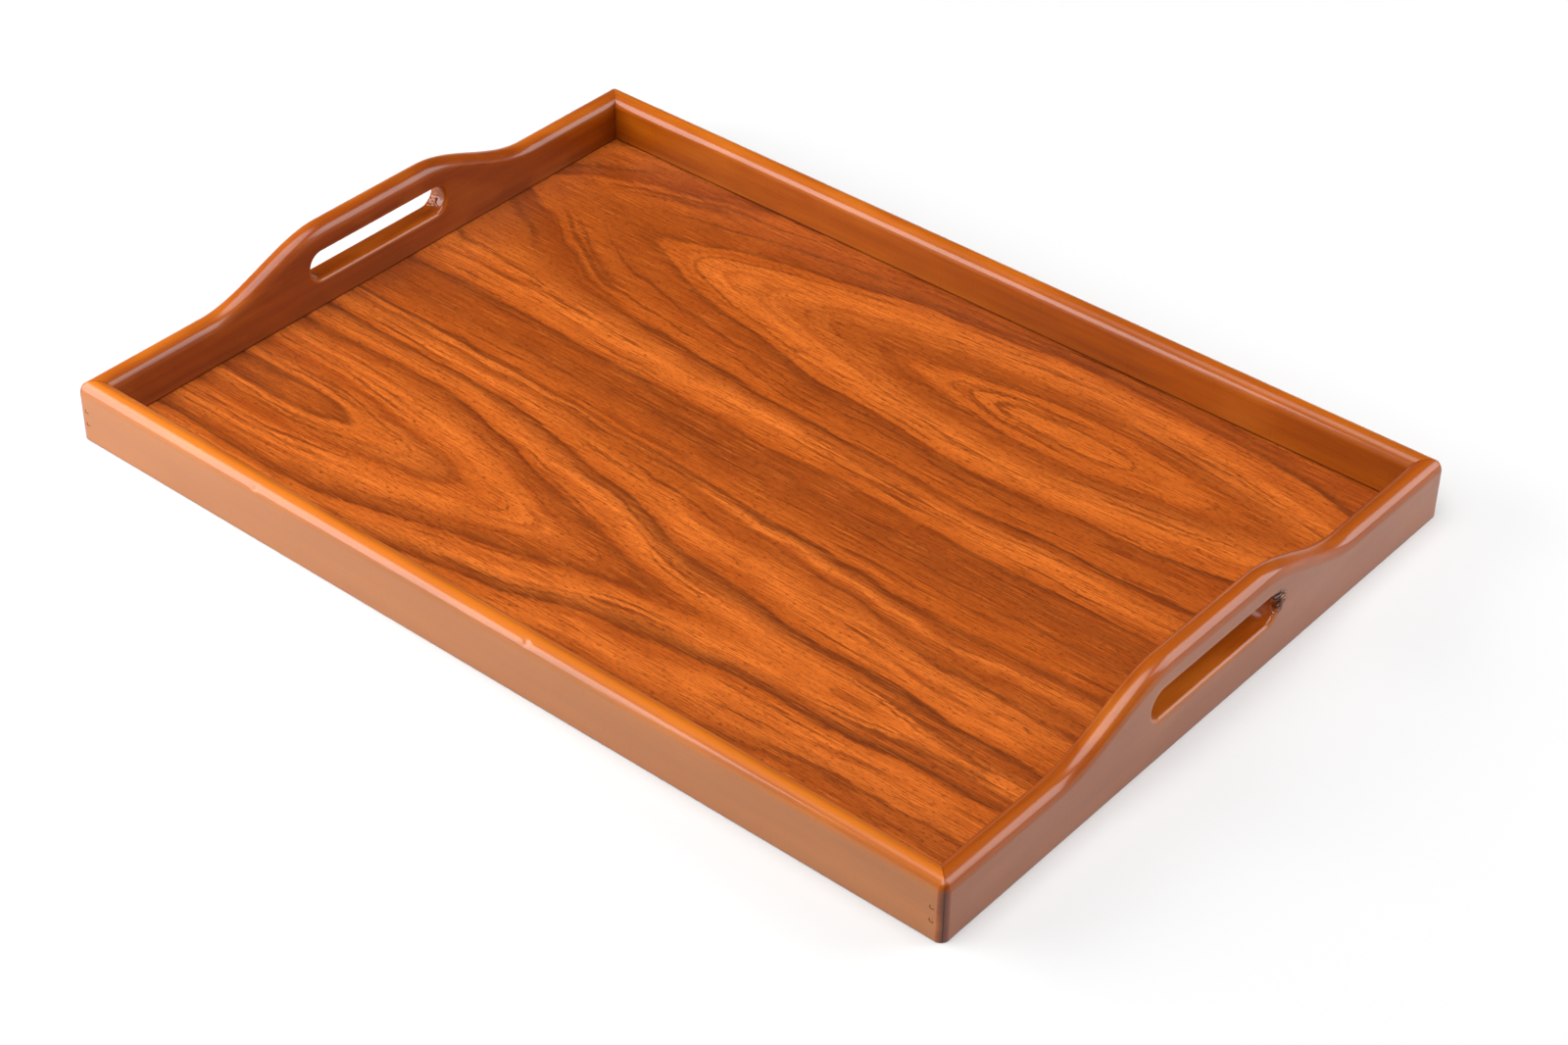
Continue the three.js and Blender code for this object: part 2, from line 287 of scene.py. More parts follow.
def walnut_print_laminate():
    """Melamine laminate printed with figured walnut, with a satin face.

    The print is vivid orange with dark brown growth lines, which feather out along the fibres,
    and short dark pores. The sheet is flatter and duller than the frame's lacquer. The pores are
    drawn a little coarser than the print's, so that they show.
    """
    material, shader, tree = new_material("walnut_print_laminate", "#83380C")
    grain = add(tree, "ShaderNodeAttribute", attribute_name="grain").outputs["Vector"]
    axes = add(tree, "ShaderNodeSeparateXYZ", {0: grain})
    along, growth, across = axes.outputs

    by_fibres = add(tree, "ShaderNodeCombineXYZ", {0: along, 1: across}).outputs[0]
    sway = streaks(tree, grain, (80, 24, 1000), 3, 0.5, 5)
    tremble = streaks(tree, grain, (16, 4, 1000), 2, 0.5, 9)
    feather = streaks(tree, by_fibres, (16, 0.6, 1), 2, 0.6, 8)
    rings = growth
    for unevenness, depth in ((sway, 10.0), (tremble, 1.2), (feather, 2.6)):
        centred = add(tree, "ShaderNodeMath", {0: unevenness, 1: 0.5}, operation="SUBTRACT").outputs[0]
        rings = add(tree, "ShaderNodeMath", {0: centred, 1: depth, 2: rings},
                    operation="MULTIPLY_ADD").outputs[0]
    low, high = GROWTH_TONES[0][0], GROWTH_TONES[-1][0]
    place = add(tree, "ShaderNodeMapRange", {"Value": rings, "From Min": low, "From Max": high})
    colour = add(tree, "ShaderNodeValToRGB", {"Fac": place.outputs[0]}, stops=[
        ((height - low) / (high - low), tone) for height, tone in GROWTH_TONES
    ]).outputs[0]

    by_rings = add(tree, "ShaderNodeCombineXYZ", {0: along, 1: rings}).outputs[0]
    blotches = streaks(tree, by_rings, (100, 14, 1), 2, 0.5, 4)
    bands = streaks(tree, by_rings, (140, 3.4, 1), 2, 0.6, 6)
    lines = streaks(tree, by_rings, (120, 1.8, 1), 2, 0.6, 1)
    hairs = streaks(tree, by_fibres, (26, 0.5, 1), 2, 0.6, 2)
    pores = streaks(tree, by_fibres, (3.4, 0.42, 1), 1, 0.5, 3)
    colour = laid_over(tree, colour, "#903F06", blotches, 0.42, 0.68, 0.45)
    colour = laid_over(tree, colour, "#843505", bands, 0.5, 0.66, 0.6)
    colour = laid_over(tree, colour, "#571F01", lines, 0.55, 0.63, 0.75)
    colour = laid_over(tree, colour, "#6E2B03", hairs, 0.5, 0.62, 0.7)
    colour = laid_over(tree, colour, "#C56825", hairs, 0.47, 0.34, 0.4)
    colour = laid_over(tree, colour, "#4A1901", pores, 0.58, 0.68, 0.75)
    tree.links.new(colour, shader.inputs["Base Color"])

    bump = add(tree, "ShaderNodeBump", {"Height": pores, "Strength": 0.2, "Distance": 0.05 * MM})
    tree.links.new(bump.outputs[0], shader.inputs["Normal"])
    shader.inputs["Roughness"].default_value = 0.4
    shader.inputs["IOR"].default_value = 1.45
    shader.inputs["Specular IOR Level"].default_value = 0.3
    return material


def raw_fibreboard():
    """Medium-density fibreboard: matt, tan, with fine pressed fibres."""
    material, shader, tree = new_material("raw_fibreboard", "#A07850")
    fibres = streaks(tree, place_in_mm(tree), (2, 2, 0.4), 3, 0.6)
    tone = add(tree, "ShaderNodeValToRGB", {"Fac": fibres}, stops=[(0.3, "#7C5A38"), (0.7, "#B08A60")])
    tree.links.new(tone.outputs[0], shader.inputs["Base Color"])
    shader.inputs["Roughness"].default_value = 0.9
    return material


def brown_backing_laminate():
    """Plain brown balancing laminate with a pressed fine texture, half matt."""
    material, shader, tree = new_material("brown_backing_laminate", "#7A4622")
    place = place_in_mm(tree)
    grain = streaks(tree, place, (90, 2.5, 2.5), 3, 0.6, 2)
    press = streaks(tree, place, (1.2, 1.2, 1.2), 2, 0.5, 4)
    tone = add(tree, "ShaderNodeValToRGB", {"Fac": grain}, stops=[
        (0.3, "#693A1A"), (0.5, "#7A4622"), (0.7, "#8A5430"),
    ])
    tree.links.new(tone.outputs[0], shader.inputs["Base Color"])
    bump = add(tree, "ShaderNodeBump", {"Height": press, "Strength": 0.3, "Distance": 0.05 * MM})
    tree.links.new(bump.outputs[0], shader.inputs["Normal"])
    shader.inputs["Roughness"].default_value = 0.6
    return material


def zinc_plated_wire():
    """Bright zinc-plated steel wire with faint drawing lines, for the hidden brads."""
    material, shader, tree = new_material("zinc_plated_wire", "#B4B8BC")
    lines = streaks(tree, place_in_mm(tree), (0.2, 6, 0.2), 2, 0.5)
    tone = add(tree, "ShaderNodeValToRGB", {"Fac": lines}, stops=[(0.3, "#9FA3A8"), (0.7, "#C4C8CC")])
    tree.links.new(tone.outputs[0], shader.inputs["Base Color"])
    shader.inputs["Metallic"].default_value = 1.0
    shader.inputs["Roughness"].default_value = 0.35
    return material


def tinted_wood_filler():
    """Wood filler tinted near the stain, smeared flush and lacquered over."""
    material, shader, tree = new_material("tinted_wood_filler", "#9C683A")
    grit = streaks(tree, place_in_mm(tree), (0.5, 0.5, 0.5), 2, 0.6)
    tone = add(tree, "ShaderNodeValToRGB", {"Fac": grit}, stops=[(0.3, "#8E5C34"), (0.7, "#A87040")])
    tree.links.new(tone.outputs[0], shader.inputs["Base Color"])
    shader.inputs["Roughness"].default_value = 0.5
    return material


# ---- frame members ----------------------------------------------------------------------------
# A member is worked out in its own terms: how far along it, how far in from its outer face, and
# how high. Each is then set down on its side of the tray.

ARRIS_STEPS = 3
END_STEPS = 6  # steps round an upright corner, up to the mitre
END_RUN = 2 * MM  # the inner side's last stretch before the mitre
NOSE_STEPS = 28  # steps over the whole bullnose
STATION_SPACING = 1.0 * MM
SHARP_ANGLE = math.radians(35)
SLOT_FIELD = 58 * MM  # half length of the stretch of face that holds the slot
SLOT_END_STEPS = 80
SLOT_SIDE_STEPS = 40
SLOT_ROUND_STEPS = 6
SLOT_MARGIN = 0.7 * MM  # a narrow ring of flat face round each rim
SLOT_WALL_STEPS = 12
BRAD_FIELD = 10 * MM  # length of the stretch of face that holds a corner's two brad holes
BRAD_FIELD_SLACK = 0.1 * MM  # past the flat face's last station, which takes it in
BRAD_HOLE_STEPS = 24

WAVER = 0.06 * MM  # how unevenly the bullnose is sanded
WAVER_LENGTH = 22 * MM
# The golden band round the bullnose is rubbed wear and a painted highlight together.
RUBBED_HIGHLIGHT_MIDDLE = math.radians(76)  # where round the bullnose the stain is thinnest
RUBBED_HIGHLIGHT_SPREAD = math.radians(26)
# The slot rims take a painted highlight in the same golden colour.
RIM_HIGHLIGHT = 0.5  # how far the rims of the slots are rubbed
BOARD_RUBBED_HIGHLIGHT = 0.3  # how far the end boards' bullnose is rubbed
# The painted tan sheen covers the straight outer face and reaches round the bullnose.
SHEEN_SPREAD = math.radians(34)  # how far the faded outer face reaches round the bullnose
# Painted shade: how dark along a member's foot, and the height of the dark line where it meets the panel.
FOOT_SHADE = 0.6  # how dark the stain has pooled along a member's foot
PANEL_SHADE_LINE = 0.7 * MM  # height of the dark line where a member meets the panel
PIT_SIZE = 1.6 * MM
TEAR_PLACE, PIT_PLACE, BEAD_PLACE = 3.0, 5.0, 8.0  # where tears, pits and beads read the noise

# A stretch of face with round-ended tubes that open in it. Each tube is a list of rings from the
# outer face inwards, and each ring is a list of (along, inset, height, rubbed wear and painted
# highlight, torn). A tube that runs through comes out in the inner face.
Opening = namedtuple("Opening", "start stop tubes through")
# A dent in the bullnose: where it lies along the member and round the nose, how far it reaches
# each way, and how deep it is. A pitted one is worn to bare wood in small pits.
Dent = namedtuple("Dent", "along angle length spread depth pitted")


def smoothstep(value):
    """A smooth step from 0 to 1."""
    t = min(max(value, 0.0), 1.0)
    return t * t * (3 - 2 * t)


def bell(value):
    """A smooth bump, 1 in its middle and nearly 0 beyond 2."""
    return math.exp(-value * value)


def flat_top(along):
    """Height and slope of a rail's top."""
    return RAIL_TOP, 0.0


def ogee_top(along):
    """Height and slope of an end board's top."""
    t = (CREST_HALF + OGEE_RUN - abs(along)) / OGEE_RUN
    height = RAIL_TOP + (CREST_TOP - RAIL_TOP) * smoothstep(t)
    slope = 0.0
    if 0 < t < 1:
        slope = -math.copysign(6 * t * (1 - t) * (CREST_TOP - RAIL_TOP) / OGEE_RUN, along)
    return height, slope


def section_points():
    """The member's section from the outer bottom edge over the top to the inner bottom edge.

    Each point is (inset from the outer face, height, angle round the bullnose, painted shade).
    Exactly one of height and angle is None. The last points run through the groove and along the
    underside.
    """
    points = []
    for step in range(ARRIS_STEPS + 1):
        angle = step / ARRIS_STEPS * math.pi / 2
        # painted shade along the foot's arris
        foot = 0.0 if step == ARRIS_STEPS else FOOT_SHADE
        points.append((ARRIS * (1 - math.sin(angle)), ARRIS * (1 - math.cos(angle)), None, foot))
    outer_face = len(points) - 1
    for step in range(NOSE_STEPS + 1):
        angle = step / NOSE_STEPS * math.pi
        points.append((NOSE_RADIUS * (1 - math.cos(angle)), None, angle, 0.0))
    inner_face = len(points) - 1
    inner = THICKNESS
    # the line above the groove and the groove itself take full painted shade, the inner foot less
    points += [
        (inner, GROOVE_TOP + PANEL_SHADE_LINE, None, 0.0),
        (inner, GROOVE_TOP, None, 1.0),
        (inner - GROOVE_DEPTH, GROOVE_TOP, None, 1.0),
        (inner - GROOVE_DEPTH, GROOVE_BOTTOM, None, 1.0),
        (inner, GROOVE_BOTTOM, None, FOOT_SHADE),
    ]
    for step in range(ARRIS_STEPS + 1):
        angle = step / ARRIS_STEPS * math.pi / 2
        inset, height = inner - ARRIS * (1 - math.cos(angle)), ARRIS * (1 - math.sin(angle))
        points.append((inset, height, None, FOOT_SHADE))
    return points, outer_face, inner_face


def plan_place(step, station, inset, half):
    """Where a station lies along a member, and how far in, with the upright corner rounded."""
    if step == 0:
        end = half - max(inset, CORNER_RADIUS) - (0 if inset < CORNER_RADIUS else END_RUN)
        return station * end, inset
    part = step / END_STEPS
    if inset < CORNER_RADIUS - 1e-6:
        radius = CORNER_RADIUS - inset
        turn = part * math.pi / 4
        along = half - CORNER_RADIUS + radius * math.sin(turn)
        inset = CORNER_RADIUS - radius * math.cos(turn)
    else:
        along = half - inset - END_RUN * (1 - part)
    return math.copysign(along - MITRE_GAP * part, station), inset


def nose_hollow(along, angle, seed, dents):
    """How far a place on the bullnose lies inside the true round, and how bare the wood is."""
    uneven = 0.5 + 0.5 * noise(Vector((along / WAVER_LENGTH, angle, seed)))
    hollow = WAVER * uneven * math.sin(angle)
    bare = 0.0
    for dent in dents:
        reach = bell((along - dent.along) / dent.length) * bell((angle - dent.angle) / dent.spread)
        if dent.pitted:
            pits = noise(Vector((along / PIT_SIZE, angle * NOSE_RADIUS / PIT_SIZE, PIT_PLACE)))
            reach *= max(2 * pits, 0.0)
            bare = min(1.5 * reach, 1.0)
        hollow += dent.depth * reach
    return hollow, bare


TEAR_LENGTH = 6.5 * MM
TEAR_DEPTH = 4.5 * MM  # into the board
TEAR_TURN = math.radians(14)  # its middle, up from the slot's middle line
TEAR_SPREAD = math.radians(38)
SPLINTER_WIDTH = 1 / 16  # radians round the slot's end
SPLINTER_LENGTH = 2 * MM
SPLINTER_LEAST = 0.1


def torn_rim(side, turn, inset):
    """Grain torn out of the outer face at one end of the slot, in splinters."""
    if side < 0 or inset > TEAR_DEPTH:
        return 0.0, 0.0
    reach = bell((turn - TEAR_TURN) / TEAR_SPREAD) * (1 - inset / TEAR_DEPTH) ** 1.5
    place = Vector((turn / SPLINTER_WIDTH, inset / SPLINTER_LENGTH, TEAR_PLACE))
    splinters = 0.55 + 0.9 * noise(place)
    return TEAR_LENGTH * reach * max(splinters, SPLINTER_LEAST), reach


BEAD_SIZE = 1.1 * MM
BEAD_RISE = 1.3 * MM
BEAD_TURN = math.radians(-35)
BEAD_SPREAD = math.radians(45)
BEAD_INSET = 5 * MM
BEAD_REACH = 3 * MM  # through the board, to each side of that inset


def beaded_rim(side, turn, inset):
    """Lacquer run together in beads on the end wall of the slot."""
    if side > 0:
        return 0.0, 0.0
    reach = bell((turn - BEAD_TURN) / BEAD_SPREAD) * bell((inset - BEAD_INSET) / BEAD_REACH)
    lump = noise(Vector((turn * SLOT_RADIUS / BEAD_SIZE, inset / BEAD_SIZE, BEAD_PLACE)))
    return -BEAD_RISE * reach * max(lump, 0.0), 0.0


def slot_tube(rim):
    """The hand slot's rings, from the outer face through the board to the inner face.

    The rim function says how far a place on the slot's wall is pushed out, and how torn it is.
    """
    straight = SLOT_HALF_LENGTH - SLOT_RADIUS
    path = []
    for end in (1, -1):
        for step in range(SLOT_END_STEPS + 1):
            turn = end * (step / SLOT_END_STEPS - 0.5) * math.pi
            path.append((end, end * straight, end * math.cos(turn), math.sin(turn), turn))
        for step in range(1, SLOT_SIDE_STEPS):
            path.append((end, end * straight * (1 - 2 * step / SLOT_SIDE_STEPS), 0, end, math.pi))
    round_rows = [step / SLOT_ROUND_STEPS * math.pi / 2 for step in range(SLOT_ROUND_STEPS + 1)]
    rows = [(SLOT_ROUND * (1 - math.sin(a)), SLOT_ROUND * (1 - math.cos(a))) for a in round_rows]
    wall = THICKNESS - 2 * SLOT_ROUND
    rows += [(0, SLOT_ROUND + wall * step / SLOT_WALL_STEPS) for step in range(1, SLOT_WALL_STEPS)]
    rows += [(offset, THICKNESS - inset) for offset, inset in reversed(rows[:SLOT_ROUND_STEPS + 1])]
    margin = SLOT_ROUND + SLOT_MARGIN
    rows = [(margin, 0), *rows, (margin, THICKNESS)]
    rings = []
    for offset, inset in rows:
        ring = []
        for side, middle, out_along, out_up, turn in path:
            push, torn = rim(side, turn, inset)
            radius = SLOT_RADIUS + offset + push
            # a painted highlight round the rim
            rubbed_and_highlight = RIM_HIGHLIGHT * math.sin(math.pi * min(offset / SLOT_ROUND, 1))
            torn = 0.0 if offset > SLOT_ROUND else torn
            place = (middle + radius * out_along, inset, SLOT_HEIGHT + radius * out_up)
            ring.append((*place, rubbed_and_highlight, torn))
        rings.append(ring)
    return rings


def brad_tube(along, height):
    """A brad hole's rings, down to the brad's head."""
    turns = [step / BRAD_HOLE_STEPS * 2 * math.pi for step in range(BRAD_HOLE_STEPS)]
    return [
        [(along + BRAD_HOLE_RADIUS * math.cos(turn), inset, height + BRAD_HOLE_RADIUS * math.sin(turn),
          0.0, 0.0) for turn in turns]
        for inset in (0.0, BRAD_HOLE_DEPTH)
    ]


INSIDE_OUTLINES = 1  # asks for the triangles inside the outlines, and no others
MERGE_WITHIN = 1e-7


def fill_face(mesh, border, rims):
    """Fills a flat stretch of face between its border and the rims of the tubes in it.

    Outline 0 is the border. A triangle that lies in any other is in a tube's mouth and is left out.
    """
    loops = [border, *rims]
    verts = [vert for loop in loops for vert in loop]
    flat = [Vector((vert.co.x, vert.co.z)) for vert in verts]
    outlines, first = [], 0
    for loop in loops:
        outlines.append(list(range(first, first + len(loop))))
        first += len(loop)
    result = delaunay_2d_cdt(flat, [], outlines, INSIDE_OUTLINES, MERGE_WITHIN)
    triangles, sources, inside = result[2], result[3], result[5]
    for triangle, outlines_round in zip(triangles, inside):
        if max(outlines_round, default=0) == 0:
            mesh.faces.new([verts[sources[k][0]] for k in triangle])


def member_mesh(half, top_at, openings, seed, rubbing_and_highlight, dents=()):
    """One member in its own terms: x along it, y in from its outer face, z up."""
    mesh = bmesh.new()
    for surface_mark in WEAR_AND_PAINTED_LIGHT:
        mesh.verts.layers.float.new(surface_mark)
    layers = [mesh.verts.layers.float[surface_mark] for surface_mark in WEAR_AND_PAINTED_LIGHT]
    points, outer_face, inner_face = section_points()
    count = int(2 * half / STATION_SPACING)
    stations = [(step, -1) for step in range(END_STEPS, 0, -1)]
    stations += [(0, 2 * k / count - 1) for k in range(count + 1)]
    stations += [(step, 1) for step in range(1, END_STEPS + 1)]
    rows = []
    for step, station in stations:
        row = []
        for j, (inset, height, angle, painted_shade) in enumerate(points):
            along, inward = plan_place(step, station, inset, half)
            rubbed_and_highlight = painted_sheen = 0.0
            # The straight outer face takes the painted tan sheen; round the upright corners it grows
            # darker instead.
            if j == outer_face:
                painted_sheen, painted_shade = float(step == 0), step / END_STEPS
            if angle is not None:
                hollow, bare = nose_hollow(along, angle, seed, dents)
                # On the bullnose: rubbed wear with a painted highlight, the painted sheen low on the
                # outer side, and darker towards the upright corners.
                rubbed_and_highlight = max(rubbing_and_highlight * bell((angle - RUBBED_HIGHLIGHT_MIDDLE) / RUBBED_HIGHLIGHT_SPREAD), bare)
                low = bell(angle / SHEEN_SPREAD)
                painted_sheen, painted_shade = (low, 0.0) if step == 0 else (0.0, low * step / END_STEPS)
                depth = NOSE_RADIUS * (1 - math.sin(angle)) + hollow * math.sin(angle)
                inward += hollow * math.cos(angle)
                top, slope = top_at(along)
                steep = math.hypot(1, slope)
                along += slope / steep * depth
                height = top - depth / steep
            vert = mesh.verts.new((along, inward, height))
            for layer, amount in zip(layers, (rubbed_and_highlight, painted_sheen, painted_shade, 0.0)):
                vert[layer] = amount
            row.append(vert)
        rows.append(row)

    fields = []
    skipped = set()
    for opening in openings:
        field = [k for k, row in enumerate(rows)
                 if opening.start < row[outer_face].co.x < opening.stop]
        faces = (outer_face, inner_face) if opening.through else (outer_face,)
        fields.append((opening, field, faces))
        skipped.update((k, j) for k in field[:-1] for j in faces)
    for k in range(len(rows) - 1):
        for j in range(len(points)):
            if (k, j) not in skipped:
                following = (j + 1) % len(points)
                mesh.faces.new((rows[k][j], rows[k + 1][j], rows[k + 1][following], rows[k][following]))
    mesh.faces.new(rows[0])
    mesh.faces.new(reversed(rows[-1]))

    for opening, field, faces in fields:
        tubes = [open_tube(mesh, tube, layers) for tube in opening.tubes]
        for j, ring in zip(faces, (0, -1)):
            border = [rows[k][j] for k in field]
            border += [rows[k][j + 1] for k in reversed(field)]
            fill_face(mesh, border, [tube[ring] for tube in tubes])
        if not opening.through:
            for tube in tubes:
                mesh.faces.new(tube[-1])
    bmesh.ops.recalc_face_normals(mesh, faces=mesh.faces)
    return mesh


def open_tube(mesh, tube, layers):
    """Walls a tube's rings together, and gives back its rings of vertices."""
    rings = []
    for ring in tube:
        verts = []
        for *place, rubbed_and_highlight, torn in ring:
            vert = mesh.verts.new(place)
            # Near the outer face the tube's wall takes the painted sheen, and the rims take their painted
            # highlight.
            for layer, amount in zip(layers, (rubbed_and_highlight, bell(place[1] / MM), 0.0, torn)):
                vert[layer] = amount
            verts.append(vert)
        rings.append(verts)
    for near, far in zip(rings, rings[1:]):
        for k in range(len(near)):
            following = (k + 1) % len(near)
            mesh.faces.new((near[k], near[following], far[following], far[k]))
    return rings


def place_member(mesh, name, side):
    """Sets a member down on its side of the tray, as a smooth-shaded object."""
    outer = HALF_WIDTH if side in ("front", "back") else HALF_LENGTH
    turn = {"front": 0, "right": 1, "back": 2, "left": 3}[side] * math.pi / 2
    turned = Matrix.Rotation(turn, 4, "Z") @ Matrix.Translation((0, -outer, 0))
    bmesh.ops.transform(mesh, matrix=turned, verts=mesh.verts)
    data = bpy.data.meshes.new(name)
    mesh.to_mesh(data)
    mesh.free()
    return shown_object(name, data)


def shown_object(name, data):
    """A smooth-shaded object whose flat faces stay flat beside its rounds."""
    data.shade_smooth()
    data.set_sharp_from_angle(angle=SHARP_ANGLE)
    item = bpy.data.objects.new(name, data)
    bpy.context.scene.collection.objects.link(item)
    flatten = item.modifiers.new("flat_faces", "WEIGHTED_NORMAL")
    flatten.keep_sharp = True
    flatten.weight = 100
    return item


def brad_openings():
    """The stretches of a rail's outer face that hold its brad holes, one at each end."""
    along = sum(corner.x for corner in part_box("brad_front_right_lower")) / 2
    heights = [sum(corner.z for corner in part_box(f"brad_front_right_{level}")) / 2
               for level in ("lower", "upper")]
    stop = HALF_LENGTH - CORNER_RADIUS + BRAD_FIELD_SLACK
    openings = []
    for end in (-1, 1):
        ends = sorted((end * stop, end * (stop - BRAD_FIELD)))
        openings.append(Opening(*ends, [brad_tube(end * along, z) for z in heights], False))
    return openings


def slot_openings(rim):
    """The stretch of an end board's face that holds its hand slot."""
    return [Opening(-SLOT_FIELD, SLOT_FIELD, [slot_tube(rim)], True)]


# ---- panel face -------------------------------------------------------------------------------

GRAIN_SPACING = 2.5 * MM

# Places and sizes in the printed figure, in millimetres.
LOWER_HEART, UPPER_HEART = -98.0, 110.0  # lines along the panel that the two figures lie on
LOWER_FOLD, UPPER_FOLD = 6, 8  # how round the rings fold over each
LOWER_BREADTH, UPPER_BREADTH = 62, 58  # how far from each its figure reaches
ARROWHEAD_START, ARROWHEAD_RUN, ARROWHEAD_CLOSING = -200, 270, 44
TAIL_START, TAIL_CLOSING = 40, 0.03  # the slower closing to the right of the arrowheads
EYE_MIDDLE, EYE_ROUNDING, EYE_CLOSING = 90, 40, 0.2
BEND_PLACE, BEND_REACH, BEND_DEPTH = (-205, 122), (35, 45), 8  # a bend near the far left corner


def rounded_distance(value, rounding):
    """How far a value is from nought, eased over a rounding near it."""
    return np.sqrt(value * value + rounding * rounding) - rounding


def growth_height(x, y):
    """How far through the growth rings a place on the panel lies, in millimetres.

    Rings run straight between the two hearts and fold back beyond each. Along the lower heart
    they close to the right, in nested arrowheads. Round the upper heart they close in a long eye.
    """
    aside, up = (x - BEND_PLACE[0]) / BEND_REACH[0], (y - BEND_PLACE[1]) / BEND_REACH[1]
    y = y - BEND_DEPTH * np.exp(-aside ** 2 - up ** 2)
    below, above = y - LOWER_HEART, y - UPPER_HEART
    straight = rounded_distance(below, LOWER_FOLD) - rounded_distance(above, UPPER_FOLD) - y
    ease = np.clip((x - ARROWHEAD_START) / ARROWHEAD_RUN, 0, 1)
    arrowheads = ARROWHEAD_CLOSING * ease * ease * (3 - 2 * ease)
    arrowheads = arrowheads + TAIL_CLOSING * np.maximum(x - TAIL_START, 0)
    eye = EYE_CLOSING * rounded_distance(x - EYE_MIDDLE, EYE_ROUNDING)
    lower_figure = arrowheads * np.exp(-(below / LOWER_BREADTH) ** 2)
    upper_figure = eye * np.exp(-(above / UPPER_BREADTH) ** 2)
    return straight + lower_figure - upper_figure


def panel_face():
    """The panel's printed sheet, a fine grid that carries the figure as an attribute."""
    mesh = bmesh.new()
    columns = round((PANEL_HIGH.x - PANEL_LOW.x) / GRAIN_SPACING)
    rows = round((PANEL_HIGH.y - PANEL_LOW.y) / GRAIN_SPACING)
    bmesh.ops.create_grid(mesh, x_segments=columns, y_segments=rows, size=1)
    for vert in mesh.verts:
        vert.co.x *= PANEL_HIGH.x
        vert.co.y *= PANEL_HIGH.y
        vert.co.z = PANEL_HIGH.z
    border = [edge for edge in mesh.edges if edge.is_boundary]
    walls = bmesh.ops.extrude_edge_only(mesh, edges=border)["geom"]
    lower = [item for item in walls if isinstance(item, bmesh.types.BMVert)]
    for vert in lower:
        vert.co.z = PANEL_LOW.z
    rim = [edge for edge in mesh.edges if edge.is_boundary]
    bmesh.ops.contextual_create(mesh, geom=rim)
    bmesh.ops.recalc_face_normals(mesh, faces=mesh.faces)
    data = bpy.data.meshes.new("panel_print")
    mesh.to_mesh(data)
    mesh.free()
    place = np.empty(3 * len(data.vertices), np.float32)
    data.vertices.foreach_get("co", place)
    x, y = (place.reshape(-1, 3)[:, :2] / MM).T
    grain = np.stack([x, growth_height(x, y), y], 1).astype(np.float32)
    data.attributes.new("grain", "FLOAT_VECTOR", "POINT").data.foreach_set("vector", grain.ravel())
    return shown_object("panel_print", data)


# ---- brad fillings ----------------------------------------------------------------------------

FILLING_RISE = 0.45 * MM  # half thickness of a plug of filler
FILLING_INSET = 0.46 * MM  # middle of a plug, in from the rail's face
FILLING_LEAST = 0.92  # the smallest plug, as a part of its hole
FILLING_SEED = 4


def filling_tree(filler):
    """Geometry nodes that press a plug of filler over every brad's head."""
    tree = bpy.data.node_groups.new("brad_fillings", "GeometryNodeTree")
    for name, kind in (("Heads", "Geometry"), ("Radius", "Float"), ("Rise", "Float"),
                       ("Least", "Float"), ("Seed", "Int")):
        tree.interface.new_socket(name, in_out="INPUT", socket_type=f"NodeSocket{kind}")
    tree.interface.new_socket("Plugs", in_out="OUTPUT", socket_type="NodeSocketGeometry")
    given = add(tree, "NodeGroupInput").outputs
    ball = add(tree, "GeometryNodeMeshUVSphere", {"Segments": 20, "Rings": 10, "Radius": given["Radius"]})
    flatness = add(tree, "ShaderNodeMath", {0: given["Rise"], 1: given["Radius"]}, operation="DIVIDE")
    scale = add(tree, "ShaderNodeCombineXYZ", {0: 1.0, 1: flatness.outputs[0], 2: 1.0})
    plug = add(tree, "GeometryNodeTransform", {"Geometry": ball.outputs[0], "Scale": scale.outputs[0]})
    spread = add(tree, "FunctionNodeRandomValue", {2: given["Least"], 3: 1.0, "Seed": given["Seed"]})
    plugs = add(tree, "GeometryNodeInstanceOnPoints", {
        "Points": given["Heads"], "Instance": plug.outputs[0], "Scale": spread.outputs[1],
    })
    real = add(tree, "GeometryNodeRealizeInstances", {"Geometry": plugs.outputs[0]})
    smooth = add(tree, "GeometryNodeSetShadeSmooth", {"Geometry": real.outputs[0]})
    painted = add(tree, "GeometryNodeSetMaterial", {"Geometry": smooth.outputs[0], "Material": filler})
    add(tree, "NodeGroupOutput", {0: painted.outputs[0]})
    return tree


def brad_fillings(filler):
    """The plugs of filler over the eight brads, as one plain mesh."""
    heads = []
    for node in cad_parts:
        if node.startswith("brad_"):
            low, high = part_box(node)
            middle = (low + high) / 2
            outer = math.copysign(HALF_WIDTH - FILLING_INSET, middle.y)
            heads.append((middle.x, outer, middle.z))
    data = bpy.data.meshes.new("brad_fillings")
    data.from_pydata(heads, [], [])
    item = bpy.data.objects.new("brad_fillings", data)
    bpy.context.scene.collection.objects.link(item)
    tree = filling_tree(filler)
    sockets = {socket.name: socket.identifier for socket in tree.interface.items_tree}
    press = item.modifiers.new("press_fillings", "NODES")
    press.node_group = tree
    press[sockets["Radius"]] = BRAD_HOLE_RADIUS
    press[sockets["Rise"]] = FILLING_RISE
    press[sockets["Least"]] = FILLING_LEAST
    press[sockets["Seed"]] = FILLING_SEED
    graph = bpy.context.evaluated_depsgraph_get()
    plain = bpy.data.meshes.new_from_object(item.evaluated_get(graph))
    item.modifiers.clear()
    item.data = plain
    return item


# ---- stage ------------------------------------------------------------------------------------

PAPER = "#C2C2C2"
FLOOR_REACH = 6.0


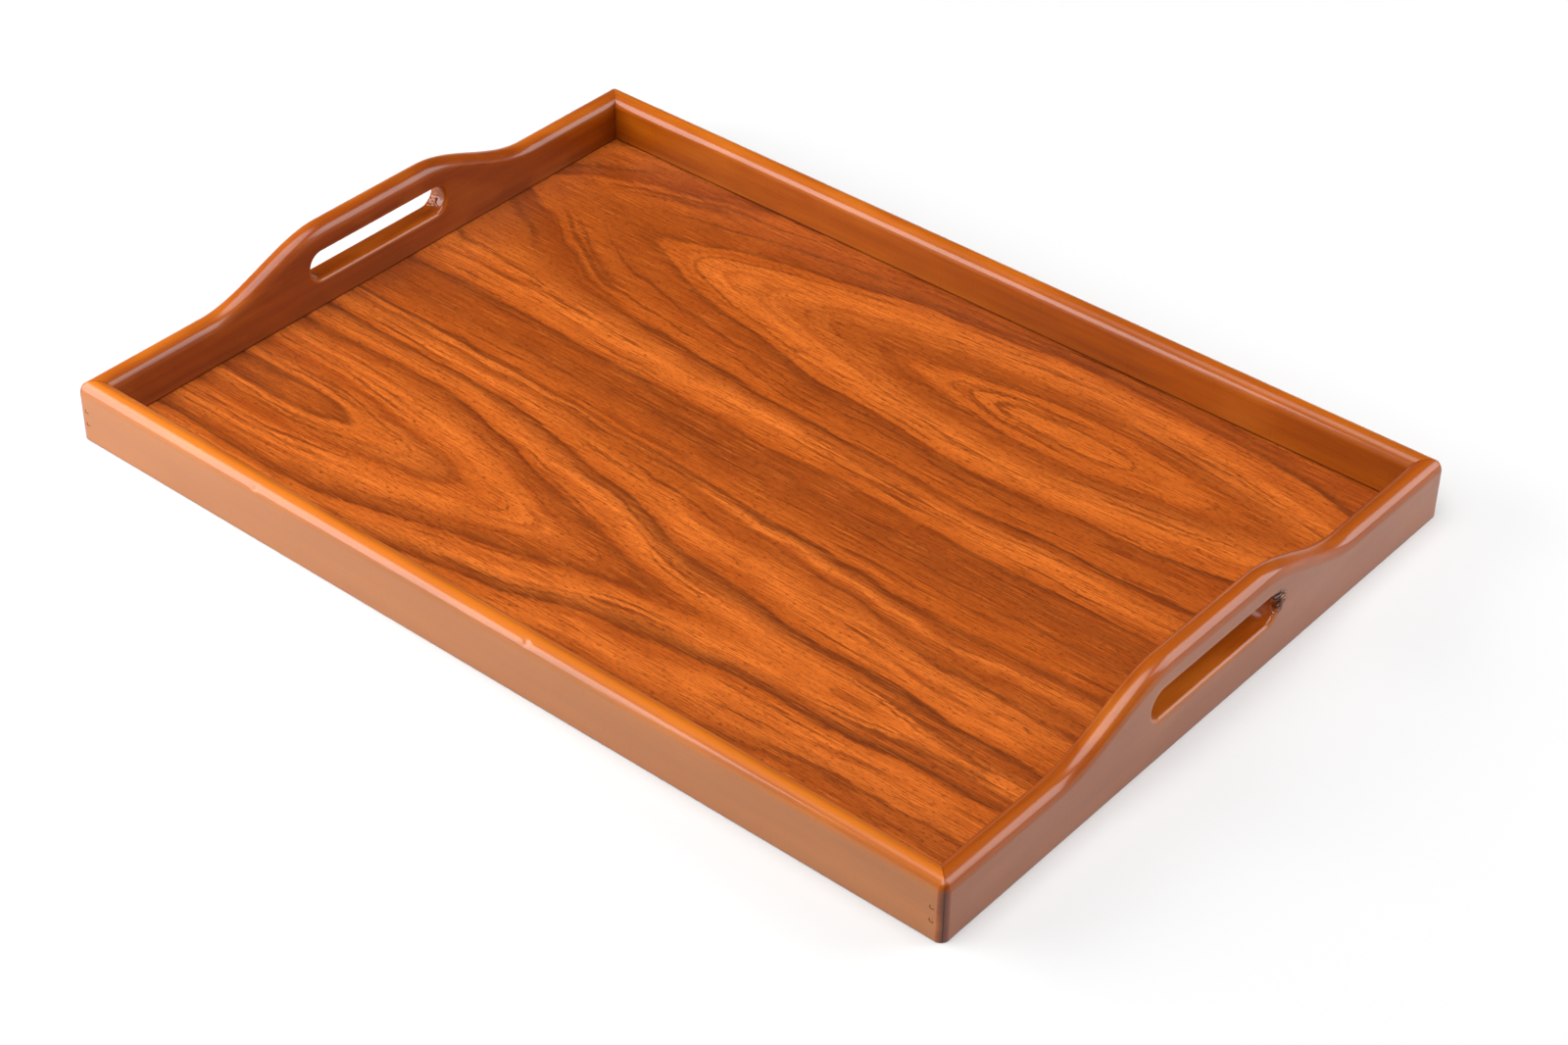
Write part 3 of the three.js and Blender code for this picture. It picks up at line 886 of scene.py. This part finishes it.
def matt_white_paper():
    """Seamless matt white paper under the tray."""
    material, shader, _ = new_material("matt_white_paper", PAPER)
    shader.inputs["Base Color"].default_value = linear(PAPER)
    shader.inputs["Roughness"].default_value = 1.0
    shader.inputs["Specular IOR Level"].default_value = 0.0
    return material


def make_floor():
    """A sheet of paper that reaches far past the tray on all sides."""
    mesh = bmesh.new()
    bmesh.ops.create_grid(mesh, x_segments=1, y_segments=1, size=FLOOR_REACH)
    data = bpy.data.meshes.new("floor")
    mesh.to_mesh(data)
    mesh.free()
    floor = bpy.data.objects.new("floor", data)
    data.materials.append(matt_white_paper())
    bpy.context.scene.collection.objects.link(floor)


CEILING_AXIS = Vector((0.12, -0.22, 0.97)).normalized()
CEILING_EDGE = (0.8, 0.89)  # cosines of the angles from that axis over which the ceiling begins
CEILING_STRENGTH = 4.8
FLAG_STRENGTH = 0.02
HORIZON_FADE = (0.03, 0.15)  # heights over which the pale horizon ends
HORIZON_STRENGTH = 0.9
WHITE = "#FFFFFF"


def soft_box(name, place, target, width, height, power, colour):
    """A soft light that faces a target, its sizes in metres and its power in watts."""
    data = bpy.data.lights.new(name, "AREA")
    data.shape = "RECTANGLE"
    data.size = width
    data.size_y = height
    data.energy = power
    data.color = linear(colour)[:3]
    light = bpy.data.objects.new(name, data)
    light.location = place
    light.rotation_euler = (Vector(place) - Vector(target)).to_track_quat("Z", "Y").to_euler()
    bpy.context.scene.collection.objects.link(light)


def studio_air():
    """A bright ceiling and a pale horizon, with dark flags between them."""
    world = bpy.data.worlds.new("studio_air")
    world.use_nodes = True
    tree = world.node_tree
    tree.nodes.clear()
    toward = add(tree, "ShaderNodeTexCoord").outputs["Generated"]
    height = add(tree, "ShaderNodeSeparateXYZ", {0: toward}).outputs[2]
    overhead = add(tree, "ShaderNodeVectorMath", {0: toward, 1: CEILING_AXIS}, operation="DOT_PRODUCT")
    ceiling = add(tree, "ShaderNodeMapRange", {
        "Value": overhead.outputs["Value"], "From Min": CEILING_EDGE[0], "From Max": CEILING_EDGE[1],
        "To Min": FLAG_STRENGTH, "To Max": CEILING_STRENGTH,
    }, interpolation_type="SMOOTHSTEP").outputs[0]
    horizon = add(tree, "ShaderNodeMapRange", {
        "Value": height, "From Min": HORIZON_FADE[0], "From Max": HORIZON_FADE[1],
        "To Min": HORIZON_STRENGTH, "To Max": 0.0,
    }, interpolation_type="SMOOTHSTEP").outputs[0]
    strength = add(tree, "ShaderNodeMath", {0: ceiling, 1: horizon}).outputs[0]
    air = add(tree, "ShaderNodeBackground", {"Color": linear(WHITE), "Strength": strength})
    add(tree, "ShaderNodeOutputWorld", {"Surface": air.outputs[0]})
    bpy.context.scene.world = world


def light_studio():
    """A low soft box at the front left, a larger one at the back right and a bright ceiling."""
    soft_box("front_left_box", (-0.66, -0.58, 0.36), (-0.24, -0.14, 0), 0.9, 0.62, 11.5, WHITE)
    soft_box("back_right_box", (1.1, 1.1, 0.86), (0, 0, 0), 1.0, 1.2, 17.5, WHITE)
    studio_air()
    bpy.context.scene.view_settings.view_transform = "Standard"


# ---- the tray ---------------------------------------------------------------------------------


def dress(piece, material, slot, *nodes):
    """Gives a new piece its material, hangs it from the root body and hides the solids it stands for."""
    piece.data.materials.clear()
    piece.data.materials.append(material)
    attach(piece, "root")
    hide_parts(*nodes)


def dress_solid(node, material):
    """Gives a solid of the frame a better material."""
    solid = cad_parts[node]
    solid.data.materials.clear()
    solid.data.materials.append(material)


place_camera()
light_studio()
make_floor()

# Two knocks and a pitted patch on the front rail.
FRONT_DENTS = [
    Dent(-131.8 * MM, math.radians(35), 1.3 * MM, math.radians(13), 0.5 * MM, False),
    Dent(30.6 * MM, math.radians(48), 1.3 * MM, math.radians(13), 0.5 * MM, False),
    Dent(-221 * MM, math.radians(105), 9 * MM, math.radians(32), 0.35 * MM, True),
]

beech_along_x = lacquered_beech("lacquered_beech_rail", "X", 0.0, RAIL_STAIN)
beech_along_y = lacquered_beech("lacquered_beech_board", "Y", 40.0, BOARD_STAIN)
# The front rail's bullnose takes far more rubbed wear and painted highlight than the back rail's.
for side, seed, rubbing_and_highlight, dents in (("front", 1, 1.0, FRONT_DENTS), ("back", 2, 0.1, [])):
    stick = member_mesh(HALF_LENGTH, flat_top, brad_openings(), seed, rubbing_and_highlight, dents)
    dress(place_member(stick, f"{side}_rail_stick", side), beech_along_x, "frame", f"{side}_rail")
for side, seed, rim in (("left", 3, beaded_rim), ("right", 4, torn_rim)):
    board = member_mesh(HALF_WIDTH, ogee_top, slot_openings(rim), seed, BOARD_RUBBED_HIGHLIGHT)
    piece = place_member(board, f"{side}_slotted_board", side)
    dress(piece, beech_along_y, "frame", f"{side}_end_board")

fillings = brad_fillings(tinted_wood_filler())
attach(fillings, "root")

dress(panel_face(), walnut_print_laminate(), "panel_face", "panel_face")
dress_solid("panel_core", raw_fibreboard())
dress_solid("panel_backing", brown_backing_laminate())
zinc = zinc_plated_wire()
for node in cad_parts:
    if node.startswith("brad_"):
        dress_solid(node, zinc)

bpy.context.view_layer.update()
